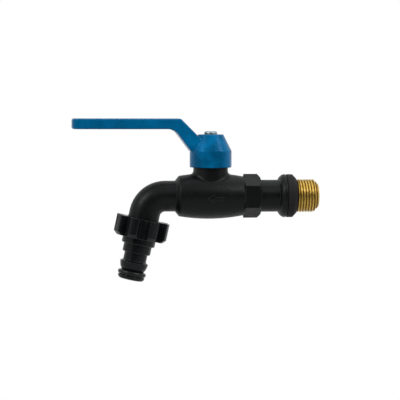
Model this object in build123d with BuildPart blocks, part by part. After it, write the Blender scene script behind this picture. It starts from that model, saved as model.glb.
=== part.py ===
from build123d import *
import os
from math import cos, pi, radians, sin, sqrt

# Outdoor ball tap with a lever, a brass inlet thread and a quick-click hose nose.
# Millimetres, +Z up. The origin lies on the inlet axis, at the wall face of the sealing ring.
# +X points into the wall, the spout is on the -X side, and the tap is symmetric about Y = 0.
# The lever is at rest over the spout, which is the open position.

# Fits
turn_play = 0.06  # radial play of pieces that turn on each other
seat_play = 0.05  # play of pieces that are put together once
ring_play = 0.02  # room round a rubber ring in its groove
swing_room = 0.5  # room between the lever and the fixed neck

# Inlet thread and its brass insert
thread_r = 10.478
thread_length = 14.4
thread_chamfer = 2.9
insert_bore_r = 6.5
relief_depth = 0.7
insert_flange_flats = 21.0
insert_flange_thick = 2.0
insert_flange_cover = 1.5
insert_sleeve_r = 8.6
insert_sleeve_length = 7.5

# Sealing ring and end connector, along X from the wall
gasket_thick = 6.4
gasket_cone = 2.3
gasket_face_r = 11.4
collar_r = 13.8
collar_length = 4.9
collar_round = 3.4
collar_shoulder_r = 5.0
seal_groove_round = 0.9
edge_round = 0.6
nipple_r = 10.25
nipple_length = 12.0
hex_flats = 24.4
hex_sides = 6
hex_length = 10.5
hex_chamfer = 1.8
connector_groove_depth = 1.6
connector_groove_width = 2.4
connector_groove_inset = 3.0

# Ball, seats and waterway
bore_r = 5.5
port_r = 5.0
ball_r = 9.4
ball_room = 0.6
ball_slot_width = 4.0
ball_slot_depth = 2.9
seat_front = 5.2
seat_thick = 4.8
ball_play = 0.04
backing_wire_r = 0.9

# Barrel, with its axis on X
stem_offset = 21.2
barrel_length = 41.6
barrel_end_r = 12.45
barrel_mid_r = 14.6
barrel_left_r = 12.95
shoulder_length = 2.5
shoulder_round = 1.2

# Neck and stem, up Z
neck_r = 11.1
neck_show = 3.7
neck_flare = 2.4
skirt_lap = 4.0
stem_r = 5.0
stem_flange_r = 6.2
stem_flange_thick = 2.4
stem_lift = 0.3
thrust_thick = 0.8
stem_groove_depth = 1.3
stem_groove_width = 1.9
stem_groove_inset = 2.4
blade_length = 9.0
square_flats = 7.05

# Quarter-turn stop between neck and lever
turn_deg = 90.0
stop_deg = 30.0
stop_play_deg = 1.0
stop_inner_r = 7.2
stop_height = 2.4
stop_rim = 0.5
stop_room = 0.4

# Lever: skirt, cone and cranked arm
skirt_r = 13.4
skirt_height = 10.6
cone_height = 10.5
hub_top_r = 8.1
hub_web = 2.5
hub_edge_round = 0.7
arm_rise = 3.4
arm_thick = 6.7
arm_reach = 88.8
arm_width = 17.0
arm_root_width = 14.0
arm_taper_start = 24.0
arm_taper_length = 22.0
arm_taper_round = 25.0
arm_end_round = 5.5
arm_edge_round = 1.3
arm_root_in = 7.0
top_bend_out = 19.7
top_root_out = 9.6
top_bend_round = 2.0
bottom_bend_out = 24.0
bottom_root_out = 13.5
bottom_bend_round = 8.0
pocket_count = 4
pocket_length = 11.0
pocket_width = 11.6
pocket_depth = 3.8
pocket_rib = 1.8
pocket_inset = 5.0

# Lever screw and its washer
screw_r = 2.0
screw_length = 12.0
screw_head_r = 4.1
screw_head_height = 2.1
screw_head_round = 1.1
recess_length = 4.6
recess_width = 1.0
recess_depth = 1.5
washer_r = 4.5
washer_thick = 0.8
washer_sink = 0.1

# Spout: a run along X, a bend and a short outlet that leans forward
spout_r = 9.85
spout_run = 6.4
bend_r = 13.2
bend_turn = 78.0
outlet_run = 4.6
spigot_r = 10.478
spigot_length = 6.9

# Union nut and flat washer, along the outlet
union_washer_thick = 2.0
union_washer_r = 10.2
nut_lap = 0.5
nut_core_r = 12.4
lobe_count = 8
lobe_r = 17.3
lobe_width = 6.0
lobe_length = 12.7
lobe_chamfer = 2.1
lobe_round = 1.5
nut_web = 4.3
nut_collar_r = 10.7
nut_collar_chamfer = 0.5

# Hose nose, along the outlet
nose_bore_r = 5.0
nose_flange_r = 10.1
nose_flange_thick = 3.0
shank_r = 9.0
shank_step = 0.5
shank_show = 5.5
shank_chamfer = 0.5
nose_neck_r = 7.4
nose_neck_length = 4.9
latch_r = 9.1
latch_rise = 1.2
latch_fall = 3.2
latch_end_r = 8.4
lip_r = 7.2
lip_length = 2.1
nose_ring_wire_r = 1.5
nose_ring_depth = 2.45
nose_groove_width = 3.4
tip_r = 8.55
tip_length = 2.5
tip_round = 2.0

# Places along X that follow from the sizes above
collar_right_x = -gasket_thick
collar_left_x = collar_right_x - collar_length
hex_right_x = collar_left_x - nipple_length
body_end_x = hex_right_x - hex_length
stem_x = body_end_x - stem_offset
barrel_left_x = body_end_x - barrel_length
shoulder_x = barrel_left_x - shoulder_length
bend_x = shoulder_x - spout_run
seat_reach = seat_front + seat_thick
seat_back = seat_reach + 2 * (backing_wire_r + ring_play)
cavity_r = ball_r + ball_room
connector_end_x = stem_x + seat_back

# Heights that follow from the sizes above
stem_flange_z = cavity_r + stem_lift
stem_shoulder_z = stem_flange_z + stem_flange_thick + thrust_thick + 2 * seat_play
skirt_z = barrel_mid_r + neck_show
neck_top_z = skirt_z + skirt_lap
hub_floor_z = neck_top_z + stop_room
cone_z = skirt_z + skirt_height
hub_top_z = cone_z + cone_height
socket_top_z = hub_top_z - hub_web
arm_bottom_z = hub_top_z + arm_rise
arm_top_z = arm_bottom_z + arm_thick
washer_z = hub_top_z - washer_thick - washer_sink
screw_head_z = washer_z + washer_thick

# Places along the outlet, from the end of the bend
spigot_end = outlet_run + spigot_length
nut_top = outlet_run - nut_lap
union_washer_top = spigot_end + seat_play
nose_flange_top = union_washer_top + union_washer_thick
nut_floor = nose_flange_top + nose_flange_thick + seat_play
lobe_bottom = nut_top + lobe_length
nut_end = nut_floor + nut_web
shank_end = nut_end + shank_show
latch_start = shank_end + nose_neck_length
latch_peak = latch_start + latch_rise
latch_end = latch_peak + latch_fall
nose_groove_start = latch_end + lip_length
nose_groove_end = nose_groove_start + nose_groove_width
tip_end = nose_groove_end + tip_length

# Axes and planes
stem_axis = Axis((stem_x, 0, 0), (0, 0, 1))
lean = radians(bend_turn)
outlet_point = Vector(bend_x - bend_r * sin(lean), 0, bend_r * cos(lean) - bend_r)
outlet_way = Vector(-cos(lean), 0, -sin(lean))
outlet_side = Vector(sin(lean), 0, -cos(lean))
outlet_axis = Axis(outlet_point, outlet_way)
# On this plane local X is the distance from the outlet axis and local Y the distance along it
outlet_profile = Plane(origin=outlet_point, x_dir=outlet_side, z_dir=(0, 1, 0))


def across_outlet(distance):
    """Gives the plane square to the outlet axis, a distance along it."""
    return Plane(origin=outlet_point + outlet_way * distance, x_dir=outlet_side, z_dir=outlet_way)


def ring_sector(inner_r, outer_r, start_deg, span_deg):
    """Draws a piece of a flat ring in the open sketch."""
    with BuildLine() as outline:
        outer = CenterArc((0, 0), outer_r, start_deg, span_deg)
        inner = CenterArc((0, 0), inner_r, start_deg, span_deg)
        Line(outer @ 0, inner @ 0)
        Line(outer @ 1, inner @ 1)
    make_face(outline.edges())


def rubber_ring(label, plane, ring_r, wire_r):
    """Makes a round-section ring whose axis is the plane's normal."""
    with BuildPart() as ring:
        with BuildSketch(Plane(origin=plane.origin, x_dir=plane.x_dir, z_dir=plane.y_dir)):
            with Locations((ring_r, 0)):
                Circle(wire_r)
        revolve(axis=Axis(plane.origin, plane.z_dir))
    ring.part.label = label
    return ring.part


os.makedirs("parts", exist_ok=True)

# Brass insert: thread cylinder, relief under the gasket, hexagon flange and sleeve
flange_right_x = collar_right_x - insert_flange_cover
flange_left_x = flange_right_x - insert_flange_thick
sleeve_end_x = flange_left_x - insert_sleeve_length
relief_r = thread_r - relief_depth
with BuildPart() as brass_thread_insert:
    with BuildSketch(Plane.XZ):
        with BuildLine():
            Polyline(
                (sleeve_end_x, insert_bore_r),
                (sleeve_end_x, insert_sleeve_r),
                (flange_left_x, insert_sleeve_r),
                (flange_left_x, relief_r),
                (0, relief_r),
                (0, thread_r),
                (thread_length - thread_chamfer, thread_r),
                (thread_length, thread_r - thread_chamfer),
                (thread_length, insert_bore_r),
                close=True,
            )
        make_face()
    revolve(axis=Axis.X)
    with BuildSketch(Plane.YZ.offset(flange_left_x)):
        RegularPolygon(insert_flange_flats / 2, hex_sides, major_radius=False)
        Circle(insert_bore_r, mode=Mode.SUBTRACT)
    extrude(amount=insert_flange_thick)
brass_thread_insert.part.label = "brass_thread_insert"
export_step(brass_thread_insert.part, "parts/brass_thread_insert.step")

# Sealing ring: rounded towards the collar, coned towards the wall
with BuildPart() as inlet_gasket:
    with BuildSketch(Plane.XZ):
        with BuildLine():
            Polyline(
                (collar_right_x, collar_r - seal_groove_round),
                (collar_right_x, relief_r + seat_play),
                (0, relief_r + seat_play),
                (0, gasket_face_r),
                (-gasket_cone, collar_r),
                (collar_right_x + seal_groove_round, collar_r),
            )
            RadiusArc(
                (collar_right_x + seal_groove_round, collar_r),
                (collar_right_x, collar_r - seal_groove_round),
                -seal_groove_round,
            )
        make_face()
    revolve(axis=Axis.X)
    rim = inlet_gasket.edges().filter_by(GeomType.CIRCLE).filter_by_position(Axis.X, -gasket_cone, 0)
    fillet(rim.sort_by(SortBy.RADIUS)[-1], edge_round)
inlet_gasket.part.label = "inlet_gasket"
export_step(inlet_gasket.part, "parts/inlet_gasket.step")

# End connector: spigot in the barrel, hexagon, nipple and collar, moulded round the insert
connector_r = cavity_r - seat_play
hex_corner_r = hex_flats / 2 / cos(pi / hex_sides)
groove_x = body_end_x - connector_groove_inset
with BuildPart() as inlet_connector:
    with BuildSketch(Plane.YZ.offset(body_end_x)):
        RegularPolygon(hex_flats / 2, hex_sides, major_radius=False, rotation=180 / hex_sides)
    extrude(amount=hex_length)
    with BuildSketch(Plane.XZ):
        with BuildLine():
            Polyline(
                (body_end_x, 0),
                (body_end_x, hex_corner_r),
                (hex_right_x - hex_chamfer, hex_corner_r),
                (hex_right_x, hex_flats / 2),
                (hex_right_x, 0),
                close=True,
            )
        make_face()
    revolve(axis=Axis.X, mode=Mode.INTERSECT)
    with BuildSketch(Plane.XZ):
        with BuildLine():
            Polyline(
                (collar_left_x, nipple_r),
                (body_end_x, nipple_r),
                (body_end_x, connector_r),
                (groove_x + connector_groove_width / 2, connector_r),
                (groove_x + connector_groove_width / 2, connector_r - connector_groove_depth),
                (groove_x - connector_groove_width / 2, connector_r - connector_groove_depth),
                (groove_x - connector_groove_width / 2, connector_r),
                (connector_end_x, connector_r),
                (connector_end_x, bore_r),
                (collar_right_x, bore_r),
                (collar_right_x, collar_r - seal_groove_round),
            )
            RadiusArc(
                (collar_right_x, collar_r - seal_groove_round),
                (collar_right_x - seal_groove_round, collar_r),
                -seal_groove_round,
            )
            Line(
                (collar_right_x - seal_groove_round, collar_r),
                (collar_left_x + collar_round, collar_r),
            )
            RadiusArc(
                (collar_left_x + collar_round, collar_r),
                (collar_left_x, nipple_r),
                -collar_shoulder_r,
            )
        make_face()
    revolve(axis=Axis.X)
    with BuildSketch(Plane.YZ.offset(connector_end_x)):
        Circle(bore_r)
    extrude(amount=collar_right_x - connector_end_x, mode=Mode.SUBTRACT)
    with BuildSketch(Plane.YZ.offset(sleeve_end_x)):
        Circle(insert_bore_r)
    extrude(amount=collar_right_x - sleeve_end_x, mode=Mode.SUBTRACT)
    add(brass_thread_insert.part, mode=Mode.SUBTRACT)
inlet_connector.part.label = "inlet_connector"
export_step(inlet_connector.part, "parts/inlet_connector.step")

# Seal between connector and barrel
connector_gap = connector_groove_depth + seat_play
connector_wire_r = connector_gap / 2 - ring_play
connector_o_ring = rubber_ring(
    "connector_o_ring",
    Plane.YZ.offset(groove_x),
    cavity_r - connector_gap / 2,
    connector_wire_r,
)
export_step(connector_o_ring, "parts/connector_o_ring.step")

# Body: barrel, neck with its stop, spout bend and outlet spigot in one moulding
stop_outer_r = neck_r - stop_rim
stem_bore_r = stem_r + turn_play
with BuildPart() as valve_body:
    with BuildSketch(Plane.XZ) as barrel_side:
        with BuildLine():
            crown = ThreePointArc(
                (body_end_x, barrel_end_r),
                (stem_x, barrel_mid_r),
                (barrel_left_x, barrel_left_r),
            )
            Polyline(
                crown @ 1,
                (shoulder_x, spout_r),
                (shoulder_x, 0),
                (body_end_x, 0),
                crown @ 0,
            )
        make_face()
        corners = barrel_side.vertices()
        fillet(corners.sort_by_distance((barrel_left_x, barrel_left_r))[0], shoulder_round)
    revolve(axis=Axis.X)
    with BuildSketch(Plane.XY):
        with Locations((stem_x, 0)):
            Circle(neck_r)
    extrude(amount=neck_top_z)
    fillet(valve_body.edges(Select.NEW), neck_flare)
    with BuildSketch(Plane(origin=(stem_x, 0, neck_top_z))):
        ring_sector(stop_inner_r, stop_outer_r, -stop_deg / 2, stop_deg)
    extrude(amount=stop_height)
    with BuildLine(Plane.XZ) as spout_path:
        Line((shoulder_x, 0), (bend_x, 0))
        CenterArc((bend_x, -bend_r), bend_r, 90, bend_turn)
        outlet_end = outlet_point + outlet_way * spigot_end
        Line((outlet_point.X, outlet_point.Z), (outlet_end.X, outlet_end.Z))
    with BuildSketch(Plane(origin=(shoulder_x, 0, 0), z_dir=(-1, 0, 0))):
        Circle(spout_r)
    sweep(path=spout_path.wires()[0])
    with BuildSketch(across_outlet(outlet_run)):
        Circle(spigot_r)
    extrude(amount=spigot_length)
    with BuildSketch(Plane(origin=(shoulder_x, 0, 0), z_dir=(-1, 0, 0))):
        Circle(bore_r)
    sweep(path=spout_path.wires()[0], mode=Mode.SUBTRACT)
    with BuildSketch(Plane.YZ.offset(shoulder_x)):
        Circle(bore_r)
    extrude(amount=body_end_x - shoulder_x, mode=Mode.SUBTRACT)
    with BuildSketch(Plane.YZ.offset(stem_x - seat_back)):
        Circle(cavity_r)
    extrude(amount=body_end_x - stem_x + seat_back, mode=Mode.SUBTRACT)
    with BuildSketch(Plane.XY):
        with Locations((stem_x, 0)):
            Circle(stem_flange_r + swing_room / 2)
    extrude(amount=stem_shoulder_z, mode=Mode.SUBTRACT)
    with BuildSketch(Plane.XY):
        with Locations((stem_x, 0)):
            Circle(stem_bore_r)
    extrude(amount=neck_top_z, mode=Mode.SUBTRACT)
valve_body.part.label = "valve_body"
export_step(valve_body.part, "parts/valve_body.step")

# Ball with its port along the flow and a slot across the top
with BuildPart() as ball:
    with Locations((stem_x, 0, 0)):
        Sphere(ball_r)
        Cylinder(port_r, 2 * cavity_r, rotation=(0, 90, 0), mode=Mode.SUBTRACT)
    with BuildSketch(Plane(origin=(stem_x, 0, ball_r - ball_slot_depth))):
        Rectangle(ball_slot_width, 2 * ball_r)
    extrude(amount=ball_slot_depth, mode=Mode.SUBTRACT)
ball.part.label = "ball"
export_step(ball.part, "parts/ball.step")

# Seat rings with a hollow that follows the ball, each on a soft backing ring
hollow_r = ball_r + ball_play
seat_outer_r = cavity_r - seat_play
for side, flow in (("inlet", 1), ("outlet", -1)):
    with BuildPart() as seat_ring:
        with BuildSketch(Plane.XZ):
            with BuildLine():
                Polyline(
                    (stem_x + flow * seat_front, sqrt(hollow_r**2 - seat_front**2)),
                    (stem_x + flow * seat_front, seat_outer_r),
                    (stem_x + flow * seat_reach, seat_outer_r),
                    (stem_x + flow * seat_reach, bore_r),
                    (stem_x + flow * sqrt(hollow_r**2 - bore_r**2), bore_r),
                )
                RadiusArc(
                    (stem_x + flow * sqrt(hollow_r**2 - bore_r**2), bore_r),
                    (stem_x + flow * seat_front, sqrt(hollow_r**2 - seat_front**2)),
                    -flow * hollow_r,
                )
            make_face()
        revolve(axis=Axis.X)
    seat_ring.part.label = f"seat_ring_{side}"
    export_step(seat_ring.part, f"parts/seat_ring_{side}.step")
    seat_backing = rubber_ring(
        f"seat_backing_{side}",
        Plane.YZ.offset(stem_x + flow * (seat_reach + seat_back) / 2),
        (bore_r + seat_outer_r) / 2,
        backing_wire_r,
    )
    export_step(seat_backing, f"parts/seat_backing_{side}.step")

# Stem: blade in the ball, flange, grooved shaft and square top
blade_z = ball_r - ball_slot_depth + stem_lift
stem_top_z = socket_top_z - stem_lift
screw_tip_z = screw_head_z - screw_length
groove_heights = (stem_shoulder_z + stem_groove_inset, neck_top_z - stem_groove_inset)
with BuildPart() as stem:
    with BuildSketch(Plane(origin=(stem_x, 0, blade_z))):
        Rectangle(ball_slot_width - 2 * seat_play, blade_length)
    extrude(amount=stem_flange_z - blade_z)
    with BuildSketch(Plane(origin=(stem_x, 0, stem_flange_z))):
        Circle(stem_flange_r)
    extrude(amount=stem_flange_thick)
    with BuildSketch(Plane(origin=(stem_x, 0, stem_flange_z))):
        Circle(stem_r)
    extrude(amount=hub_floor_z - stem_flange_z)
    with BuildSketch(Plane(origin=(stem_x, 0, hub_floor_z))):
        Rectangle(square_flats, square_flats)
    extrude(amount=stem_top_z - hub_floor_z)
    for height in groove_heights:
        with BuildSketch(Plane(origin=(stem_x, 0, height - stem_groove_width / 2))):
            Circle(stem_r)
            Circle(stem_r - stem_groove_depth, mode=Mode.SUBTRACT)
        extrude(amount=stem_groove_width, mode=Mode.SUBTRACT)
    with BuildSketch(Plane(origin=(stem_x, 0, screw_tip_z - screw_r))):
        Circle(screw_r + seat_play)
    extrude(amount=stem_top_z - screw_tip_z + screw_r, mode=Mode.SUBTRACT)
stem.part.label = "stem"
export_step(stem.part, "parts/stem.step")

# Thrust washer between the stem's flange and the neck
with BuildPart() as stem_washer:
    with BuildSketch(Plane(origin=(stem_x, 0, stem_flange_z + stem_flange_thick + seat_play))):
        Circle(stem_flange_r)
        Circle(stem_r + seat_play, mode=Mode.SUBTRACT)
    extrude(amount=thrust_thick)
stem_washer.part.label = "stem_washer"
export_step(stem_washer.part, "parts/stem_washer.step")

# Two rubber rings on the stem
stem_gap = stem_groove_depth + turn_play
for name, height in zip(("lower", "upper"), groove_heights):
    stem_ring = rubber_ring(
        f"stem_o_ring_{name}",
        Plane(origin=(stem_x, 0, height)),
        stem_bore_r - stem_gap / 2,
        stem_gap / 2 - ring_play,
    )
    export_step(stem_ring, f"parts/stem_o_ring_{name}.step")

# Lever: cranked arm cored from below, conical hub, skirt with the stop's slot
slot_inner_r = stop_inner_r - stop_room
slot_outer_r = stop_outer_r + stop_room
slot_start_deg = -stop_deg / 2 - stop_play_deg
slot_span_deg = stop_deg + turn_deg + 2 * stop_play_deg
top_slope = (arm_top_z - hub_top_z) / (top_bend_out - top_root_out)
root_top_z = hub_top_z - (top_root_out - arm_root_in) * top_slope
pocket_pitch = pocket_length + pocket_rib
pocket_middle_x = stem_x - arm_reach + pocket_inset + pocket_count * pocket_pitch / 2
with BuildPart() as handle:
    with BuildSketch(Plane.XZ) as arm_side:
        with BuildLine():
            Polyline(
                (stem_x - arm_reach, arm_bottom_z),
                (stem_x - bottom_bend_out, arm_bottom_z),
                (stem_x - bottom_root_out, cone_z),
                (stem_x - arm_root_in, cone_z),
                (stem_x - arm_root_in, root_top_z),
                (stem_x - top_bend_out, arm_top_z),
                (stem_x - arm_reach, arm_top_z),
                close=True,
            )
        make_face()
        corners = arm_side.vertices()
        fillet(corners.sort_by_distance((stem_x - bottom_bend_out, arm_bottom_z))[0], bottom_bend_round)
        corners = arm_side.vertices()
        fillet(corners.sort_by_distance((stem_x - top_bend_out, arm_top_z))[0], top_bend_round)
    extrude(amount=arm_width / 2, both=True)
    with BuildSketch(Plane.XY) as arm_plan:
        with BuildLine():
            Polyline(
                (stem_x, -arm_root_width / 2),
                (stem_x - arm_taper_start, -arm_root_width / 2),
                (stem_x - arm_taper_start - arm_taper_length, -arm_width / 2),
                (stem_x - arm_reach, -arm_width / 2),
                (stem_x - arm_reach, arm_width / 2),
                (stem_x - arm_taper_start - arm_taper_length, arm_width / 2),
                (stem_x - arm_taper_start, arm_root_width / 2),
                (stem_x, arm_root_width / 2),
                close=True,
            )
        make_face()
        corners = arm_plan.vertices().group_by(Axis.X)
        fillet(corners[1] + corners[2], arm_taper_round)
        fillet(arm_plan.vertices().group_by(Axis.X)[0], arm_end_round)
    extrude(amount=arm_top_z, mode=Mode.INTERSECT)
    arm_end_x = stem_x - arm_reach - seat_play
    long_edges = handle.edges().filter_by_position(Axis.X, arm_end_x, stem_x - bottom_root_out)
    upright = long_edges.filter_by(Axis.Z)
    across = long_edges.filter_by(Axis.Y)
    fillet(long_edges - upright - across, arm_edge_round)
    with BuildSketch(Plane.XY.offset(arm_bottom_z)):
        with Locations((pocket_middle_x, 0)):
            with GridLocations(pocket_pitch, 0, pocket_count, 1):
                RectangleRounded(pocket_length, pocket_width, edge_round)
    extrude(amount=pocket_depth, mode=Mode.SUBTRACT)
    with BuildSketch(Plane.XZ) as hub_profile:
        with BuildLine():
            Polyline(
                (stem_x, skirt_z),
                (stem_x + skirt_r, skirt_z),
                (stem_x + skirt_r, cone_z),
                (stem_x + hub_top_r, hub_top_z),
                (stem_x, hub_top_z),
                close=True,
            )
        make_face()
        corners = hub_profile.vertices()
        fillet(corners - corners.group_by(Axis.X)[0], hub_edge_round)
    revolve(axis=stem_axis)
    with BuildSketch(Plane(origin=(stem_x, 0, skirt_z))):
        Circle(neck_r + swing_room)
    extrude(amount=hub_floor_z - skirt_z, mode=Mode.SUBTRACT)
    with BuildSketch(Plane(origin=(stem_x, 0, hub_floor_z))):
        ring_sector(slot_inner_r, slot_outer_r, slot_start_deg, slot_span_deg)
    extrude(amount=stop_height, mode=Mode.SUBTRACT)
    with BuildSketch(Plane(origin=(stem_x, 0, hub_floor_z))):
        Rectangle(square_flats + 2 * seat_play, square_flats + 2 * seat_play)
    extrude(amount=socket_top_z - hub_floor_z, mode=Mode.SUBTRACT)
    with Locations((stem_x, 0, hub_top_z)):
        CounterBoreHole(
            screw_r + 2 * seat_play,
            washer_r + 2 * seat_play,
            hub_top_z - washer_z,
            hub_top_z - stem_top_z,
        )
handle.part.label = "handle"
export_step(handle.part, "parts/handle.step")

# Flat washer under the screw head
with BuildPart() as screw_washer:
    with BuildSketch(Plane(origin=(stem_x, 0, washer_z))):
        Circle(washer_r)
        Circle(screw_r + 2 * seat_play, mode=Mode.SUBTRACT)
    extrude(amount=washer_thick)
screw_washer.part.label = "screw_washer"
export_step(screw_washer.part, "parts/screw_washer.step")

# Pan head screw with a cross recess
with BuildPart() as handle_screw:
    with BuildSketch(Plane(origin=(stem_x, 0, screw_head_z))):
        Circle(screw_head_r)
    extrude(amount=screw_head_height)
    fillet(handle_screw.edges().group_by(Axis.Z)[-1], screw_head_round)
    with BuildSketch(Plane(origin=(stem_x, 0, screw_tip_z))):
        Circle(screw_r)
    extrude(amount=screw_length)
    with BuildSketch(Plane(origin=(stem_x, 0, screw_head_z + screw_head_height - recess_depth))):
        Rectangle(recess_length, recess_width)
        Rectangle(recess_width, recess_length)
    extrude(amount=recess_depth, mode=Mode.SUBTRACT)
handle_screw.part.label = "handle_screw"
export_step(handle_screw.part, "parts/handle_screw.step")

# Flat washer between the outlet spigot and the hose nose
with BuildPart() as union_washer:
    with BuildSketch(across_outlet(union_washer_top)):
        Circle(union_washer_r)
        Circle(bore_r, mode=Mode.SUBTRACT)
    extrude(amount=union_washer_thick)
union_washer.part.label = "union_washer"
export_step(union_washer.part, "parts/union_washer.step")

# Union nut: lobes for the hand, a plain bore for the thread and a web that holds the nose
nut_bore_r = spigot_r + turn_play
nut_hole_r = max(latch_r, shank_r) + 2 * turn_play
with BuildPart() as union_nut:
    with BuildSketch(across_outlet(nut_top)) as nut_plan:
        Circle(nut_core_r)
        with PolarLocations(lobe_r / 2, lobe_count, start_angle=180 / lobe_count):
            Rectangle(lobe_r, lobe_width)
        corners = nut_plan.vertices()
        tips = corners.filter_by(lambda corner: corner.center().length > nut_core_r + lobe_round)
        fillet(tips, lobe_round)
    extrude(amount=lobe_length)
    with BuildSketch(outlet_profile):
        with BuildLine():
            Polyline(
                (0, nut_top),
                (lobe_r, nut_top),
                (lobe_r, lobe_bottom - lobe_chamfer),
                (lobe_r - lobe_chamfer, lobe_bottom),
                (0, lobe_bottom),
                close=True,
            )
        make_face()
    revolve(axis=outlet_axis, mode=Mode.INTERSECT)
    with BuildSketch(across_outlet(nut_floor)):
        Circle(nut_collar_r)
    extrude(amount=nut_web)
    chamfer(union_nut.faces().sort_by(outlet_axis)[-1].edges(), nut_collar_chamfer)
    with BuildSketch(across_outlet(nut_top)):
        Circle(nut_bore_r)
    extrude(amount=nut_floor - nut_top, mode=Mode.SUBTRACT)
    with BuildSketch(across_outlet(nut_floor)):
        Circle(nut_hole_r)
    extrude(amount=nut_web, mode=Mode.SUBTRACT)
union_nut.part.label = "union_nut"
export_step(union_nut.part, "parts/union_nut.step")

# Hose nose: flange in the nut, shank, latch groove and collar, seal groove and rounded tip
nose_groove_r = tip_r - nose_ring_depth
with BuildPart() as hose_nipple:
    with BuildSketch(outlet_profile):
        with BuildLine():
            Polyline(
                (tip_r - tip_round, tip_end),
                (nose_bore_r, tip_end),
                (nose_bore_r, nose_flange_top),
                (nose_flange_r, nose_flange_top),
                (nose_flange_r, nose_flange_top + nose_flange_thick),
                (shank_r - shank_step, nose_flange_top + nose_flange_thick),
                (shank_r - shank_step, nut_end),
                (shank_r, nut_end),
                (shank_r, shank_end - shank_chamfer),
                (shank_r - shank_chamfer, shank_end),
                (nose_neck_r, shank_end),
                (nose_neck_r, latch_start),
                (latch_r, latch_peak),
                (latch_end_r, latch_end),
                (lip_r, nose_groove_start),
                (nose_groove_r, nose_groove_start),
                (nose_groove_r, nose_groove_end),
                (tip_r, nose_groove_end),
                (tip_r, tip_end - tip_round),
            )
            RadiusArc((tip_r, tip_end - tip_round), (tip_r - tip_round, tip_end), -tip_round)
        make_face()
    revolve(axis=outlet_axis)
hose_nipple.part.label = "hose_nipple"
export_step(hose_nipple.part, "parts/hose_nipple.step")

# Rubber ring near the tip of the nose
nipple_o_ring = rubber_ring(
    "nipple_o_ring",
    across_outlet((nose_groove_start + nose_groove_end) / 2),
    nose_groove_r + nose_ring_wire_r + ring_play,
    nose_ring_wire_r,
)
export_step(nipple_o_ring, "parts/nipple_o_ring.step")
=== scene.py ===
"""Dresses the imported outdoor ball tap: moulded plastic, cut brass thread, rubber, zinc and a pale stage."""

import math
from typing import NamedTuple

import bmesh
import bpy
from bpy.props import FloatProperty, FloatVectorProperty, IntProperty, PointerProperty
from bpy.types import Operator, Panel, PropertyGroup
from mathutils import Matrix, Vector
from mathutils.bvhtree import BVHTree


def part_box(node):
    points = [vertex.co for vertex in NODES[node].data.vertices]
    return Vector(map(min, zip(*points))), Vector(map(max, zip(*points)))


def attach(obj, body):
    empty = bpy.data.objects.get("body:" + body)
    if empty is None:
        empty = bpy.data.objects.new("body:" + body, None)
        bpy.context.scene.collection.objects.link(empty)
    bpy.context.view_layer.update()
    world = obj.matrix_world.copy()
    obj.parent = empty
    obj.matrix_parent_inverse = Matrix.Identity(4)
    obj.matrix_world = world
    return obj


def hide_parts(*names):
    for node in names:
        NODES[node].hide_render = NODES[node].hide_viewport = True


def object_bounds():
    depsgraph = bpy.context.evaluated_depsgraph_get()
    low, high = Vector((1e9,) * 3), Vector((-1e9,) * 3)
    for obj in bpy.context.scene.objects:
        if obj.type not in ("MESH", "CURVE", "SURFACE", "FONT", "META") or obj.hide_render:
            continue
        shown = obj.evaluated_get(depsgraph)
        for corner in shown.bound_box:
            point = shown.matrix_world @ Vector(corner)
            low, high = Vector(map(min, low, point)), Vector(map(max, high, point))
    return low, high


bl_info = {
    "name": "Outdoor Ball Tap",
    "version": (1, 0, 0),
    "blender": (4, 5, 0),
    "location": "View3D > Sidebar > Outdoor Tap",
    "description": "Finishes the pieces of an outdoor ball tap and sets up its stage",
    "category": "Object",
}

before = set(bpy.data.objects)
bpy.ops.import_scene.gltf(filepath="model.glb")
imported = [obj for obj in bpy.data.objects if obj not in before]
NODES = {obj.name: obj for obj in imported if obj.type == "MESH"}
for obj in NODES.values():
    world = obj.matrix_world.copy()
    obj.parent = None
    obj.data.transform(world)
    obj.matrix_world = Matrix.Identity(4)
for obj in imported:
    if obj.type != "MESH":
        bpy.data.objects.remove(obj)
CAD_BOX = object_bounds()

# Nodes that share one finish
DULL_MOULDINGS = ("valve_body", "inlet_connector")
GLOSSY_MOULDINGS = ("union_nut", "hose_nipple")
RUBBER_RINGS = (
    "inlet_gasket",
    "connector_o_ring",
    "seat_backing_inlet",
    "seat_backing_outlet",
    "stem_o_ring_lower",
    "stem_o_ring_upper",
    "union_washer",
)
WHITE_RINGS = ("seat_ring_inlet", "seat_ring_outlet", "stem_washer")
ZINC_FIXINGS = ("handle_screw", "screw_washer")

# Photograph frame, in pixels, and the camera's sensor
PHOTO_WIDTH = 400
SENSOR_WIDTH_MM = 36.0

WHITE = (1.0, 1.0, 1.0)

# Range that a noise value mostly keeps to, and the part of a range that a colour ramp uses
NOISE_LOW = 0.3
NOISE_MIDDLE = 0.5
NOISE_HIGH = 0.7
RAMP_START = 0.34
RAMP_END = 0.66

# Cosine between the true and the softened normal, on an open face and on a full edge
OPEN_FACE_COSINE = 0.99
FULL_EDGE_COSINE = 0.86
EDGE_SAMPLES = 6

# Share of the hub's flow shading that is left along the lever's arm
ARM_SHARE = 0.3

# Shares of half a pitch: the thread's flat root, and the flank that rises from it
ROOT_SHARE = 0.10
FLANK_SHARE = 0.54
FLANGE_SIDES = 6
SHARP_EDGE_DEG = 50
WELD_MM = 0.001

# Cuts along each edge of the flow arrow, so that it follows the barrel
ARROW_CUTS = 7

# Steps along the curve of the dark card
CARD_STEPS = 32


class Softbox(NamedTuple):
    """A square lamp: place from the tap's middle and side, in metres, and share of the lamp power"""

    name: str
    place: tuple
    side: float
    power_share: float


SOFTBOXES = (
    Softbox("left_softbox", (-0.60, -0.34, 0.50), 0.28, 1.0),
    Softbox("right_softbox", (0.58, -0.32, 0.52), 0.28, 0.8),
    Softbox("top_softbox", (0.05, 0.10, 0.85), 0.60, 0.5),
    Softbox("front_softbox", (0.28, -0.50, 0.46), 0.18, 0.22),
)


# Property helpers


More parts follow.
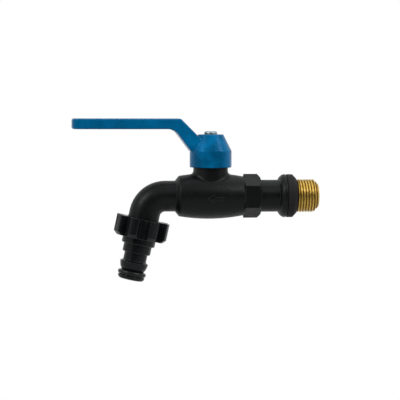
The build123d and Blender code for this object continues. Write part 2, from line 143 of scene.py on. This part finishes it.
def millimetres(value):
    """Turns millimetres into the frame's metres."""
    return value / 1000


def length(name, description, value_mm):
    """Makes a length property whose default is given in millimetres."""
    return FloatProperty(
        name=name,
        description=description,
        default=millimetres(value_mm),
        min=0.0,
        precision=5,
        unit="LENGTH",
        subtype="DISTANCE",
    )


def place_along(name, description, value_mm):
    """Makes a place along an axis, which may be negative, given in millimetres."""
    return FloatProperty(
        name=name,
        description=description,
        default=millimetres(value_mm),
        precision=5,
        unit="LENGTH",
        subtype="DISTANCE",
    )


def angle(name, description, degrees):
    """Makes an angle property whose default is given in degrees."""
    return FloatProperty(
        name=name,
        description=description,
        default=math.radians(degrees),
        precision=3,
        unit="ROTATION",
        subtype="ANGLE",
    )


def share(name, description, value):
    """Makes a property that runs from 0 to 1."""
    return FloatProperty(
        name=name, description=description, default=value, min=0.0, max=1.0, subtype="FACTOR"
    )


def colour(name, description, value):
    """Makes a linear colour property."""
    return FloatVectorProperty(
        name=name, description=description, default=value, size=3, min=0.0, max=1.0, subtype="COLOR"
    )


class TAP_PG_finishes(PropertyGroup):
    """Colours and surface values of the tap's materials"""

    black: colour("Black plastic", "Colour of the barrel and connector", (0.0036, 0.0046, 0.0047))
    black_roughness: share("Black roughness", "Middle roughness of the barrel and connector", 0.40)
    black_gloss: share("Black gloss", "Reflection level of the barrel and connector", 0.11)
    union_black: colour("Union black", "Colour of the union nut and hose nose", (0.0042, 0.0052, 0.0056))
    union_roughness: share("Union roughness", "Middle roughness of the union nut and hose nose", 0.27)
    union_gloss: share("Union gloss", "Reflection level of the union nut and hose nose", 0.13)
    mark_roughness: share("Mark roughness", "Middle roughness of the flow arrow", 0.33)
    mark_gloss: share("Mark gloss", "Reflection level of the flow arrow", 0.14)
    blue: colour("Blue plastic", "Colour of the lever", (0.0005, 0.093, 0.217))
    blue_roughness: share("Blue roughness", "Middle roughness of the lever", 0.27)
    blue_gloss: share("Blue gloss", "Reflection level of the lever", 0.18)
    blue_glint: colour("Blue glint", "Colour of the reflections on the lever", (0.08, 0.42, 1.0))
    brass: colour("Brass", "Colour of the cut brass thread", (0.47, 0.325, 0.080))
    rubber: colour("Rubber", "Colour of the sealing rings", (0.0095, 0.0090, 0.0098))
    zinc: colour("Zinc", "Colour of the plated screw and washer", (0.24, 0.30, 0.315))
    chrome: colour("Chrome", "Colour of the plated ball", (0.66, 0.67, 0.69))
    seat_white: colour("Seat plastic", "Colour of the white seat rings", (0.78, 0.78, 0.74))
    grain: length("Moulding grain", "Size of the fine grain on moulded faces", 0.35)
    edge: length("Edge softness", "Radius of the softened moulded edges", 0.55)


class TAP_PG_thread(PropertyGroup):
    """Sizes of the cut inlet thread"""

    pitch: length("Pitch", "Distance from one crest to the next", 1.814)
    depth: length("Depth", "Depth from crest to root", 1.162)
    start_run: length("Start run", "Length over which the thread fades in behind the first crest", 0.9)
    end_chamfer: length("End chamfer", "Cone at the free end", 2.9)
    end_run: length("End run", "Length over which the thread fades out at the free end", 1.2)
    mouth_chamfer: length("Mouth chamfer", "Chamfer round the bore at the free end", 0.6)
    steps: IntProperty(name="Steps round", description="Steps round one turn", default=120, min=24)
    rows: IntProperty(name="Rows per turn", description="Rows along one pitch", default=14, min=6)


class TAP_PG_arrow(PropertyGroup):
    """Sizes of the raised flow arrow on the barrel"""

    span: length("Length", "Length of the arrow along the barrel", 10.5)
    head: length("Head length", "Length of the arrow's head", 4.6)
    head_width: length("Head width", "Width across the arrow's head", 6.4)
    stem_width: length("Stem width", "Width of the arrow's stem", 2.4)
    height: length("Height", "How far the arrow stands out of the barrel", 0.45)


class TAP_PG_stage(PropertyGroup):
    """Camera, lamps and floor"""

    azimuth: angle("Azimuth", "Turn of the view about Z", -7.0)
    elevation: angle("Elevation", "View above the horizon", 3.313)
    roll: angle("Roll", "Turn of the picture", -0.174)
    distance: length("Distance", "Distance from the camera to the aimed point", 1299.6)
    scale: FloatProperty(name="Scale", description="Pixels per millimetre at the aimed point", default=1.564)
    aim: FloatVectorProperty(
        name="Aim",
        description="Point of the tap that is aimed at",
        default=(-0.065, 0, 0),
        unit="LENGTH",
        subtype="TRANSLATION",
    )
    aim_right: length("Aim right", "How far right of that point the picture's middle is", 3.22)
    aim_down: length("Aim down", "How far below that point the picture's middle is", 2.55)
    sky: share("Sky", "Strength of the surrounding light on the object", 0.38)
    floor_drop: length("Floor drop", "Distance from the lowest point to the floor", 250)
    floor_size: length("Floor size", "Side of the square floor", 12000)
    card_reach: length("Card reach", "Distance from the tap to the curved dark card", 1700)
    card_height: length("Card height", "Height of the curved dark card", 1900)
    card_turn: angle("Card turn", "Angle that the curved dark card covers", 95.0)
    lamp_power: FloatProperty(
        name="Lamp power", description="Power of the left lamp, in watts", default=3.6, unit="POWER"
    )


# Shader helpers


def start_material(name):
    """Gives a new node material and its Principled shader."""
    material = bpy.data.materials.new(name)
    material.use_nodes = True
    shader = material.node_tree.nodes["Principled BSDF"]
    return material, shader


def add_node(material, kind, **values):
    """Adds a node; keywords are input names with underscores, or the node's own settings."""
    node = material.node_tree.nodes.new(kind)
    for key, value in values.items():
        socket = node.inputs.get(key.replace("_", " ").title())
        if socket is not None:
            socket.default_value = value
        else:
            setattr(node, key, value)
    return node


def link(material, output, target):
    """Joins two sockets."""
    material.node_tree.links.new(output, target)


def place_on_object(material):
    """Gives the object's own coordinates, which are metres in the frame."""
    return add_node(material, "ShaderNodeTexCoord").outputs["Object"]


def noise(material, size, detail=3.0):
    """Gives a noise value whose features are about that many metres across."""
    texture = add_node(material, "ShaderNodeTexNoise", scale=1 / size, detail=detail)
    link(material, place_on_object(material), texture.inputs["Vector"])
    return texture.outputs["Fac"]


def spread(material, value, low, high):
    """Maps a noise value, which stays near its middle, to a range."""
    node = add_node(
        material, "ShaderNodeMapRange", from_min=NOISE_LOW, from_max=NOISE_HIGH, to_min=low, to_max=high
    )
    link(material, value, node.inputs["Value"])
    return node.outputs["Result"]


def shaded(base, factor):
    """Gives a colour made darker or lighter by a factor, with full opacity."""
    return tuple(min(1.0, channel * factor) for channel in base) + (1.0,)


def vary_colour(material, shader, value, dark, light):
    """Runs the base colour from dark to light as a value rises through its middle."""
    ramp = add_node(material, "ShaderNodeValToRGB")
    ramp.color_ramp.elements[0].position = RAMP_START
    ramp.color_ramp.elements[0].color = dark
    ramp.color_ramp.elements[1].position = RAMP_END
    ramp.color_ramp.elements[1].color = light
    link(material, value, ramp.inputs["Fac"])
    link(material, ramp.outputs["Color"], shader.inputs["Base Color"])
    return ramp.outputs["Color"]


def vary_roughness(material, shader, value, low, high):
    """Runs the roughness over a range with a noise value."""
    link(material, spread(material, value, low, high), shader.inputs["Roughness"])


def soft_normal(material, shader, value, distance, strength, edge):
    """Bumps the surface with a value, over edges softened by a small radius."""
    bevel = add_node(material, "ShaderNodeBevel", radius=edge, samples=EDGE_SAMPLES)
    bump = add_node(material, "ShaderNodeBump", strength=strength, distance=distance)
    link(material, value, bump.inputs["Height"])
    link(material, bevel.outputs["Normal"], bump.inputs["Normal"])
    link(material, bump.outputs["Normal"], shader.inputs["Normal"])
    return bevel.outputs["Normal"]


def edge_mask(material, softened):
    """Gives 1 on edges and 0 on open faces, from the softened normal."""
    geometry = add_node(material, "ShaderNodeNewGeometry")
    turn = add_node(material, "ShaderNodeVectorMath", operation="DOT_PRODUCT")
    link(material, softened, turn.inputs[0])
    link(material, geometry.outputs["Normal"], turn.inputs[1])
    mask = add_node(
        material,
        "ShaderNodeMapRange",
        from_min=OPEN_FACE_COSINE,
        from_max=FULL_EDGE_COSINE,
        to_min=0.0,
        to_max=1.0,
    )
    link(material, turn.outputs["Value"], mask.inputs["Value"])
    return mask.outputs["Result"]


def paint_wear_and_edge_highlight(material, shader, body_colour, softened, wear_and_highlight_colour):
    """Paints edges lighter: partly handling wear, partly a painted highlight along the edges."""
    mix = add_node(material, "ShaderNodeMix", data_type="RGBA")
    link(material, edge_mask(material, softened), mix.inputs["Factor"])
    link(material, body_colour, mix.inputs["A"])
    mix.inputs["B"].default_value = wear_and_highlight_colour
    link(material, mix.outputs["Result"], shader.inputs["Base Color"])


def calm_arm(material, flow, hub_left, run):
    """Keeps the flow shading on the lever's hub and calms it along the arm."""
    axes = add_node(material, "ShaderNodeSeparateXYZ")
    link(material, place_on_object(material), axes.inputs["Vector"])
    strength = add_node(
        material,
        "ShaderNodeMapRange",
        from_min=hub_left - run,
        from_max=hub_left,
        to_min=ARM_SHARE,
        to_max=1.0,
    )
    link(material, axes.outputs["X"], strength.inputs["Value"])
    swing = add_node(material, "ShaderNodeMath", operation="SUBTRACT")
    link(material, flow, swing.inputs[0])
    swing.inputs[1].default_value = NOISE_MIDDLE
    calmed = add_node(material, "ShaderNodeMath", operation="MULTIPLY_ADD")
    link(material, swing.outputs["Value"], calmed.inputs[0])
    link(material, strength.outputs["Result"], calmed.inputs[1])
    calmed.inputs[2].default_value = NOISE_MIDDLE
    return calmed.outputs["Value"]


# Finishes


def moulded_plastic(
    name, base, roughness, grain, edge, gloss, edge_wear_and_highlight, tooth, mottle=0.14, glint=WHITE, hub_left=None
):
    """Moulded plastic: flow shading, fine grain, softened edges, painted lighter as handling wear and as a
    painted edge highlight.
    """
    flow_size = 28 * grain
    cloud_size = 9 * grain
    cloud_swing = 0.06
    calming_run = 20 * grain
    grain_height = 0.12 * grain
    material, shader = start_material(name)
    shader.inputs["Specular IOR Level"].default_value = gloss
    shader.inputs["Specular Tint"].default_value = shaded(glint, 1.0)
    flow = noise(material, flow_size, detail=2.0)
    if hub_left is not None:
        flow = calm_arm(material, flow, hub_left, calming_run)
    body = vary_colour(material, shader, flow, dark=shaded(base, 1 - mottle), light=shaded(base, 1 + mottle))
    cloud = noise(material, cloud_size, detail=4.0)
    vary_roughness(material, shader, cloud, roughness - cloud_swing, roughness + cloud_swing)
    fine = noise(material, grain)
    softened = soft_normal(material, shader, fine, grain_height, tooth, edge)
    # Painted edge highlight: edges take a lighter colour, partly as handling wear
    paint_wear_and_edge_highlight(material, shader, body, softened, shaded(base, edge_wear_and_highlight))
    return material


def sealing_rubber(name, base, grain, roughness, gloss):
    """Rubber with a talc bloom and a fine tooth; a greased ring is the smoother one."""
    bloom_size = 12 * grain
    bloom_swing = 0.09
    tooth_size = 0.8 * grain
    tooth_height = 0.15 * grain
    material, shader = start_material(name)
    shader.inputs["Specular IOR Level"].default_value = gloss
    bloom = noise(material, bloom_size, detail=4.0)
    vary_colour(material, shader, bloom, dark=shaded(base, 0.75), light=shaded(base, 1.35))
    vary_roughness(material, shader, bloom, roughness - bloom_swing, roughness + bloom_swing)
    tooth = noise(material, tooth_size)
    soft_normal(material, shader, tooth, tooth_height, strength=0.35, edge=grain)
    return material


def thread_height(material, crest_radius, depth, cone_start):
    """Gives 0 in the thread's roots and 1 on its crests, along the cone at the end too."""
    place = place_on_object(material)
    across = add_node(material, "ShaderNodeVectorMath", operation="MULTIPLY")
    across.inputs[1].default_value = (0.0, 1.0, 1.0)
    link(material, place, across.inputs[0])
    radius = add_node(material, "ShaderNodeVectorMath", operation="LENGTH")
    link(material, across.outputs["Vector"], radius.inputs[0])
    axes = add_node(material, "ShaderNodeSeparateXYZ")
    link(material, place, axes.inputs["Vector"])
    past = add_node(material, "ShaderNodeMath", operation="SUBTRACT")
    link(material, axes.outputs["X"], past.inputs[0])
    past.inputs[1].default_value = cone_start
    cone = add_node(material, "ShaderNodeMath", operation="MAXIMUM")
    link(material, past.outputs["Value"], cone.inputs[0])
    cone.inputs[1].default_value = 0.0
    total = add_node(material, "ShaderNodeMath", operation="ADD")
    link(material, radius.outputs["Value"], total.inputs[0])
    link(material, cone.outputs["Value"], total.inputs[1])
    height = add_node(material, "ShaderNodeMapRange", from_min=crest_radius - depth, from_max=crest_radius)
    link(material, total.outputs["Value"], height.inputs["Value"])
    return height.outputs["Result"]


def cut_brass(name, base, crest_radius, depth, cone_start):
    """Turned brass: roots painted darker than the crests, partly grime and partly painted shade, and a little
    tarnish.
    """
    tarnish_size = 3 * depth
    material, shader = start_material(name)
    shader.inputs["Metallic"].default_value = 1.0
    height = thread_height(material, crest_radius, depth, cone_start)
    # Painted shade: the roots get a darker brass than the crests, partly as grime in the roots
    grime_and_root_shade = vary_colour(material, shader, height, dark=shaded(base, 0.74), light=shaded(base, 1.0))
    tarnish = noise(material, tarnish_size, detail=5.0)
    stain = add_node(material, "ShaderNodeMix", data_type="RGBA", blend_type="MULTIPLY")
    stain.inputs["B"].default_value = shaded(base, 1.4)
    link(material, spread(material, tarnish, low=0.0, high=0.35), stain.inputs["Factor"])
    link(material, grime_and_root_shade, stain.inputs["A"])
    link(material, stain.outputs["Result"], shader.inputs["Base Color"])
    vary_roughness(material, shader, tarnish, low=0.36, high=0.50)
    return material


def plated_metal(name, base, roughness, speck):
    """Plated metal with cloudy gloss and tiny dents."""
    cloud_size = 6 * speck
    dent_depth = 0.05 * speck
    material, shader = start_material(name)
    shader.inputs["Metallic"].default_value = 1.0
    cloud = noise(material, cloud_size, detail=4.0)
    vary_colour(material, shader, cloud, dark=shaded(base, 0.85), light=shaded(base, 1.08))
    vary_roughness(material, shader, cloud, low=roughness - 0.06, high=roughness + 0.08)
    dents = noise(material, speck)
    soft_normal(material, shader, dents, dent_depth, strength=0.25, edge=speck)
    return material


def pressed_seat(name, base, grain):
    """White pressed seat plastic, waxy and slightly mottled."""
    mottle_size = 6 * grain
    grain_height = 0.1 * grain
    material, shader = start_material(name)
    mottle = noise(material, mottle_size)
    vary_colour(material, shader, mottle, dark=shaded(base, 0.93), light=shaded(base, 1.03))
    vary_roughness(material, shader, mottle, low=0.34, high=0.48)
    fine = noise(material, grain)
    soft_normal(material, shader, fine, grain_height, strength=0.2, edge=grain)
    return material


# Piece helpers


def dress(names, material):
    """Gives CAD nodes a material."""
    for name in names:
        node = NODES[name]
        node.data.materials.clear()
        node.data.materials.append(material)


def new_object(name, mesh_data, material, body):
    """Makes a bmesh into a piece that rides on a body."""
    bmesh.ops.recalc_face_normals(mesh_data, faces=mesh_data.faces)
    mesh = bpy.data.meshes.new(name)
    mesh_data.to_mesh(mesh)
    mesh_data.free()
    mesh.materials.append(material)
    piece = bpy.data.objects.new(name, mesh)
    bpy.context.scene.collection.objects.link(piece)
    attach(piece, body)
    return piece


def even(radius):
    """Gives a radius that is the same at every share of a turn."""
    return lambda turn: radius


# Operators


class TAP_OT_black_mouldings(Operator):
    """Finish the barrel, end connector, union nut and hose nose in black plastic"""

    bl_idname = "tap.black_mouldings"
    bl_label = "Black Mouldings"

    def execute(self, context):
        look = context.scene.tap_finishes
        dull = moulded_plastic(
            "black_moulded_plastic",
            look.black,
            look.black_roughness,
            look.grain,
            look.edge,
            look.black_gloss,
            # Edges six times lighter: handling wear and a painted edge highlight
            edge_wear_and_highlight=6.0,
            tooth=0.30,
        )
        dress(DULL_MOULDINGS, dull)
        glossy = moulded_plastic(
            "glossy_moulded_plastic",
            look.union_black,
            look.union_roughness,
            look.grain,
            look.edge,
            look.union_gloss,
            # Edges six times lighter: handling wear and a painted edge highlight
            edge_wear_and_highlight=6.0,
            tooth=0.04,
        )
        dress(GLOSSY_MOULDINGS, glossy)
        return {"FINISHED"}


class TAP_OT_lever(Operator):
    """Finish the lever in blue plastic, with flow marks round its hub"""

    bl_idname = "tap.lever"
    bl_label = "Lever"

    def execute(self, context):
        look = context.scene.tap_finishes
        low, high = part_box("handle")
        hub_width = high.y - low.y
        material = moulded_plastic(
            "blue_moulded_plastic",
            look.blue,
            look.blue_roughness,
            look.grain,
            look.edge,
            look.blue_gloss,
            # Edges a little lighter: handling wear and a painted edge highlight
            edge_wear_and_highlight=1.6,
            tooth=0.14,
            mottle=0.34,
            glint=look.blue_glint,
            hub_left=high.x - hub_width,
        )
        dress(("handle",), material)
        return {"FINISHED"}


class TAP_OT_brass_thread(Operator):
    """Cut the inlet thread as a helix in place of the plain brass insert"""

    bl_idname = "tap.brass_thread"
    bl_label = "Brass Thread"

    flange_flats: length("Flange flats", "Width across the flats of the buried flange", 21.0)
    flange_thick: length("Flange thickness", "Thickness of the buried flange", 2.0)
    sleeve_length: length("Sleeve length", "Length of the sleeve behind the flange", 7.5)
    sleeve_radius: length("Sleeve radius", "Radius of the sleeve behind the flange", 8.6)
    relief_radius: length("Relief radius", "Radius of the plain part under the sealing ring", 9.778)
    crest_radius: length("Crest radius", "Radius over the thread's crests", 10.478)
    bore_radius: length("Bore radius", "Radius of the waterway", 6.5)

    def thread_radius(self, thread, x, phase, end_x):
        """Gives the thread's radius at a place along the axis and a share of one pitch."""
        flank = abs(2 * phase - 1)
        # Rises from a flat root to a flat crest, with round turns
        wave = min(1.0, max(0.0, (flank - ROOT_SHARE) / FLANK_SHARE))
        wave = wave * wave * (3 - 2 * wave)
        fade = min(1.0, x / thread.start_run)
        cut = thread.depth * (1 - wave * fade) * min(1.0, (end_x - x) / thread.end_run)
        cone = self.crest_radius - max(0.0, x - (end_x - thread.end_chamfer))
        return cone - cut

    def flange_radius(self, turn):
        """Gives the hexagon's radius at a share of a turn."""
        along_side = (turn * FLANGE_SIDES) % 1.0
        return self.flange_flats / 2 / math.cos(2 * math.pi / FLANGE_SIDES * (along_side - 0.5))

    def add_ring(self, insert, steps, x, radius):
        """Adds one ring of points; the radius is given for each share of a turn."""
        loop = []
        for step in range(steps):
            turned = 2 * math.pi * step / steps
            reach = radius(step / steps)
            loop.append(insert.verts.new((x, reach * math.cos(turned), reach * math.sin(turned))))
        return loop

    def join_rings(self, insert, rings):
        """Joins rings of points, one after the other."""
        for here, there in zip(rings, rings[1:]):
            for step, (first, second) in enumerate(zip(here, there)):
                insert.faces.new((first, second, there[step - 1], here[step - 1]))

    def cut_helix(self, insert, thread, end_x):
        """Lays rows of points along the helix; they gather in a plain ring at each end."""
        rows = thread.rows * (math.ceil(end_x / thread.pitch) + 1)
        columns = []
        for step in range(thread.steps + 1):
            turn = step / thread.steps
            turned = 2 * math.pi * turn
            column = []
            for row in range(rows + 1):
                x = thread.pitch * (row / thread.rows - 1 + turn)
                x = min(end_x, max(0.0, x))
                reach = self.thread_radius(thread, x, row / thread.rows % 1.0, end_x)
                column.append(insert.verts.new((x, reach * math.cos(turned), reach * math.sin(turned))))
            columns.append(column)
        for here, there in zip(columns, columns[1:]):
            for row in range(rows):
                insert.faces.new((here[row], here[row + 1], there[row + 1], there[row]))

    def execute(self, context):
        thread = context.scene.tap_thread
        low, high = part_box("brass_thread_insert")
        flange_left = low.x + self.sleeve_length
        flange_right = flange_left + self.flange_thick
        insert = bmesh.new()
        # From the free end through the bore to the sleeve, and back over the flange to the thread's start
        profile = [
            (high.x, even(self.crest_radius - thread.end_chamfer)),
            (high.x, even(self.bore_radius + thread.mouth_chamfer)),
            (high.x - thread.mouth_chamfer, even(self.bore_radius)),
            (low.x, even(self.bore_radius)),
            (low.x, even(self.sleeve_radius)),
            (flange_left, even(self.sleeve_radius)),
            (flange_left, self.flange_radius),
            (flange_right, self.flange_radius),
            (flange_right, even(self.relief_radius)),
            (0.0, even(self.relief_radius)),
            (0.0, even(self.crest_radius - thread.depth)),
        ]
        rings = [self.add_ring(insert, thread.steps, x, radius) for x, radius in profile]
        self.join_rings(insert, rings)
        self.cut_helix(insert, thread, high.x)
        bmesh.ops.remove_doubles(insert, verts=insert.verts, dist=millimetres(WELD_MM))
        material = cut_brass(
            "cut_brass",
            context.scene.tap_finishes.brass,
            self.crest_radius,
            thread.depth,
            high.x - thread.end_chamfer,
        )
        piece = new_object("cut_brass_thread", insert, material, "tap_body")
        for face in piece.data.polygons:
            face.use_smooth = True
        piece.data.set_sharp_from_angle(angle=math.radians(SHARP_EDGE_DEG))
        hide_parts("brass_thread_insert")
        dress(("stem",), material)
        return {"FINISHED"}


class TAP_OT_flow_arrow(Operator):
    """Raise a plain flow arrow on the front of the barrel"""

    bl_idname = "tap.flow_arrow"
    bl_label = "Flow Arrow"

    middle_x: place_along("Middle", "Middle of the arrow along the barrel", -53.5)
    middle_z: place_along("Level", "Height of the arrow's middle", -1.2)

    def execute(self, context):
        arrow = context.scene.tap_arrow
        body = NODES["valve_body"]
        surface = BVHTree.FromPolygons(
            [vertex.co for vertex in body.data.vertices],
            [tuple(face.vertices) for face in body.data.polygons],
        )
        tip = self.middle_x - arrow.span / 2
        neck = tip + arrow.head
        tail = tip + arrow.span
        outline = [(tip, 0.0), (neck, arrow.head_width / 2), (neck, arrow.stem_width / 2)]
        outline += [(tail, arrow.stem_width / 2), (tail, -arrow.stem_width / 2)]
        outline += [(neck, -arrow.stem_width / 2), (neck, -arrow.head_width / 2)]
        raised = bmesh.new()
        low, _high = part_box("valve_body")
        corners = [raised.verts.new((x, low.y, self.middle_z + z)) for x, z in outline]
        raised.faces.new(corners)
        bmesh.ops.triangulate(raised, faces=raised.faces)
        bmesh.ops.subdivide_edges(raised, edges=raised.edges, cuts=ARROW_CUTS, use_grid_fill=True)
        flat = list(raised.faces)
        skirt = bmesh.ops.extrude_face_region(raised, geom=flat)
        lifted = {item for item in skirt["geom"] if isinstance(item, bmesh.types.BMVert)}
        for vertex in raised.verts:
            start = Vector((vertex.co.x, 2 * low.y, vertex.co.z))
            place, normal, _face, _gap = surface.ray_cast(start, Vector((0, 1, 0)))
            if place is None:
                raise RuntimeError("the flow arrow misses the barrel")
            rise = arrow.height if vertex in lifted else -arrow.height
            vertex.co = place + normal * rise
        look = context.scene.tap_finishes
        material = moulded_plastic(
            "smooth_mark",
            look.black,
            look.mark_roughness,
            look.grain,
            look.edge,
            look.mark_gloss,
            # Edges six times lighter: handling wear and a painted edge highlight
            edge_wear_and_highlight=6.0,
            tooth=0.12,
        )
        piece = new_object("flow_arrow", raised, material, "tap_body")
        if not piece.data.polygons:
            raise RuntimeError("the flow arrow has no faces")
        return {"FINISHED"}


class TAP_OT_rubber_rings(Operator):
    """Finish the sealing ring, washers and O-rings in rubber"""

    bl_idname = "tap.rubber_rings"
    bl_label = "Rubber Rings"

    def execute(self, context):
        look = context.scene.tap_finishes
        dusty = sealing_rubber("sealing_rubber", look.rubber, look.grain, roughness=0.71, gloss=0.15)
        dress(RUBBER_RINGS, dusty)
        greased = sealing_rubber("greased_rubber", look.union_black, look.grain, roughness=0.30, gloss=0.20)
        dress(("nipple_o_ring",), greased)
        return {"FINISHED"}


class TAP_OT_screw(Operator):
    """Finish the lever's screw and washer in satin zinc"""

    bl_idname = "tap.screw"
    bl_label = "Screw and Washer"

    def execute(self, context):
        look = context.scene.tap_finishes
        dress(ZINC_FIXINGS, plated_metal("bright_zinc", look.zinc, roughness=0.45, speck=look.grain))
        return {"FINISHED"}


class TAP_OT_valve_inside(Operator):
    """Finish the ball, its seats and the thrust washer inside the barrel"""

    bl_idname = "tap.valve_inside"
    bl_label = "Valve Inside"

    def execute(self, context):
        look = context.scene.tap_finishes
        dress(("ball",), plated_metal("chromed_ball", look.chrome, roughness=0.16, speck=look.grain))
        dress(WHITE_RINGS, pressed_seat("seat_plastic", look.seat_white, look.grain))
        return {"FINISHED"}


class TAP_OT_stage(Operator):
    """Set the floor, surrounding light, lamps and camera"""

    bl_idname = "tap.stage"
    bl_label = "Stage"

    def seen_directly(self, tree):
        """Gives 1 for rays that show the background: camera, mirror and glass rays."""
        path = tree.nodes.new("ShaderNodeLightPath")
        total = path.outputs["Is Camera Ray"]
        for ray in ("Is Glossy Ray", "Is Transmission Ray"):
            either = tree.nodes.new("ShaderNodeMath")
            either.operation = "MAXIMUM"
            tree.links.new(total, either.inputs[0])
            tree.links.new(path.outputs[ray], either.inputs[1])
            total = either.outputs["Value"]
        return total

    def light_surroundings(self, scene, sky):
        """White where it is seen, softer where it lights the object."""
        world = bpy.data.worlds.new("pale_surroundings")
        world.use_nodes = True
        tree = world.node_tree
        lit = tree.nodes["Background"]
        lit.inputs["Color"].default_value = shaded(WHITE, 1.0)
        lit.inputs["Strength"].default_value = sky
        seen = tree.nodes.new("ShaderNodeBackground")
        seen.inputs["Color"].default_value = shaded(WHITE, 1.0)
        mix = tree.nodes.new("ShaderNodeMixShader")
        tree.links.new(self.seen_directly(tree), mix.inputs["Fac"])
        tree.links.new(lit.outputs["Background"], mix.inputs[1])
        tree.links.new(seen.outputs["Background"], mix.inputs[2])
        tree.links.new(mix.outputs["Shader"], tree.nodes["World Output"].inputs["Surface"])
        scene.world = world

    def lay_floor(self, level, side):
        """A pale floor that keeps a soft shadow."""
        glow = 1.05
        glow_share = 0.92
        floor_data = bmesh.new()
        bmesh.ops.create_grid(floor_data, x_segments=1, y_segments=1, size=side / 2)
        mesh = bpy.data.meshes.new("floor")
        floor_data.to_mesh(mesh)
        floor_data.free()
        floor = bpy.data.objects.new("floor", mesh)
        floor.location.z = level
        bpy.context.scene.collection.objects.link(floor)
        material, shader = start_material("pale_floor")
        shader.inputs["Base Color"].default_value = shaded(WHITE, 0.92)
        shader.inputs["Roughness"].default_value = 0.9
        tree = material.node_tree
        white = add_node(material, "ShaderNodeEmission", strength=glow)
        keep = add_node(material, "ShaderNodeMath", operation="MULTIPLY")
        keep.inputs[1].default_value = glow_share
        link(material, self.seen_directly(tree), keep.inputs[0])
        mix = add_node(material, "ShaderNodeMixShader")
        link(material, keep.outputs["Value"], mix.inputs["Fac"])
        link(material, shader.outputs["BSDF"], mix.inputs[1])
        link(material, white.outputs["Emission"], mix.inputs[2])
        link(material, mix.outputs["Shader"], tree.nodes["Material Output"].inputs["Surface"])
        mesh.materials.append(material)

    def hang_dark_card(self, target, reach, height, turn):
        """A curved dark card in front of the tap, past the camera, that only reflections show."""
        card_data = bmesh.new()
        bmesh.ops.create_grid(card_data, x_segments=CARD_STEPS, y_segments=1, size=0.5)
        for vertex in card_data.verts:
            turned = turn * vertex.co.x
            vertex.co = (reach * math.sin(turned), -reach * math.cos(turned), height * vertex.co.y)
        mesh = bpy.data.meshes.new("dark_card")
        card_data.to_mesh(mesh)
        card_data.free()
        card = bpy.data.objects.new("dark_card", mesh)
        card.location = target
        card.visible_camera = False
        card.visible_diffuse = False
        card.visible_transmission = False
        card.visible_shadow = False
        bpy.context.scene.collection.objects.link(card)
        material, shader = start_material("dark_card")
        shader.inputs["Base Color"].default_value = shaded(WHITE, 0.01)
        shader.inputs["Roughness"].default_value = 1.0
        mesh.materials.append(material)

    def hang_lamp(self, softbox, target, lamp_power):
        """A square soft box that points at the tap."""
        data = bpy.data.lights.new(softbox.name, "AREA")
        data.size = softbox.side
        data.energy = softbox.power_share * lamp_power
        lamp = bpy.data.objects.new(softbox.name, data)
        place = Vector(softbox.place)
        lamp.location = target + place
        lamp.rotation_euler = (-place).to_track_quat("-Z", "Y").to_euler()
        bpy.context.scene.collection.objects.link(lamp)

    def set_camera(self, scene, stage):
        """A camera at the photograph's viewing angle."""
        turn = stage.azimuth
        rise = stage.elevation
        back = Vector((math.sin(turn) * math.cos(rise), -math.cos(turn) * math.cos(rise), math.sin(rise)))
        right = Vector((math.cos(turn), math.sin(turn), 0.0))
        up = back.cross(right)
        middle = Vector(stage.aim) + right * stage.aim_right - up * stage.aim_down
        data = bpy.data.cameras.new("camera")
        data.sensor_width = SENSOR_WIDTH_MM
        field = millimetres(PHOTO_WIDTH / stage.scale)
        data.lens = SENSOR_WIDTH_MM * stage.distance / field
        data.clip_start = stage.distance / 100
        data.clip_end = stage.distance * 100
        camera = bpy.data.objects.new("camera", data)
        look = Matrix((right, up, back)).transposed().to_4x4()
        look = Matrix.Translation(middle + back * stage.distance) @ look
        camera.matrix_world = look @ Matrix.Rotation(-stage.roll, 4, "Z")
        scene.collection.objects.link(camera)
        scene.camera = camera

    def execute(self, context):
        scene = context.scene
        stage = scene.tap_stage
        scene.view_settings.view_transform = "Standard"
        self.light_surroundings(scene, stage.sky)
        self.lay_floor(CAD_BOX[0].z - stage.floor_drop, stage.floor_size)
        target = (CAD_BOX[0] + CAD_BOX[1]) / 2
        for softbox in SOFTBOXES:
            self.hang_lamp(softbox, target, stage.lamp_power)
        self.hang_dark_card(target, stage.card_reach, stage.card_height, stage.card_turn)
        self.set_camera(scene, stage)
        return {"FINISHED"}


class TAP_PT_sidebar(Panel):
    """Lists the tap's pieces and their values"""

    bl_label = "Outdoor Tap"
    bl_idname = "TAP_PT_sidebar"
    bl_space_type = "VIEW_3D"
    bl_region_type = "UI"
    bl_category = "Outdoor Tap"

    def draw(self, context):
        layout = self.layout
        for operator in OPERATORS:
            layout.operator(operator.bl_idname)
        for name in GROUPS:
            group = getattr(context.scene, name)
            column = layout.box().column()
            for key in group.__annotations__:
                column.prop(group, key)


GROUPS = {
    "tap_finishes": TAP_PG_finishes,
    "tap_thread": TAP_PG_thread,
    "tap_arrow": TAP_PG_arrow,
    "tap_stage": TAP_PG_stage,
}
OPERATORS = (
    TAP_OT_black_mouldings,
    TAP_OT_lever,
    TAP_OT_brass_thread,
    TAP_OT_flow_arrow,
    TAP_OT_rubber_rings,
    TAP_OT_screw,
    TAP_OT_valve_inside,
    TAP_OT_stage,
)


def register():
    """Registers the classes and hangs the property groups on the scene."""
    for group in GROUPS.values():
        bpy.utils.register_class(group)
    for operator in OPERATORS:
        bpy.utils.register_class(operator)
    bpy.utils.register_class(TAP_PT_sidebar)
    for name, group in GROUPS.items():
        setattr(bpy.types.Scene, name, PointerProperty(type=group))


def unregister():
    """Takes the property groups and classes away again."""
    for name in GROUPS:
        delattr(bpy.types.Scene, name)
    bpy.utils.unregister_class(TAP_PT_sidebar)
    for operator in reversed(OPERATORS):
        bpy.utils.unregister_class(operator)
    for group in reversed(list(GROUPS.values())):
        bpy.utils.unregister_class(group)


def main():
    register()
    bpy.ops.tap.black_mouldings()
    bpy.ops.tap.lever()
    bpy.ops.tap.brass_thread()
    bpy.ops.tap.flow_arrow()
    bpy.ops.tap.rubber_rings()
    bpy.ops.tap.screw()
    bpy.ops.tap.valve_inside()
    bpy.ops.tap.stage()


if __name__ == "__main__":
    main()
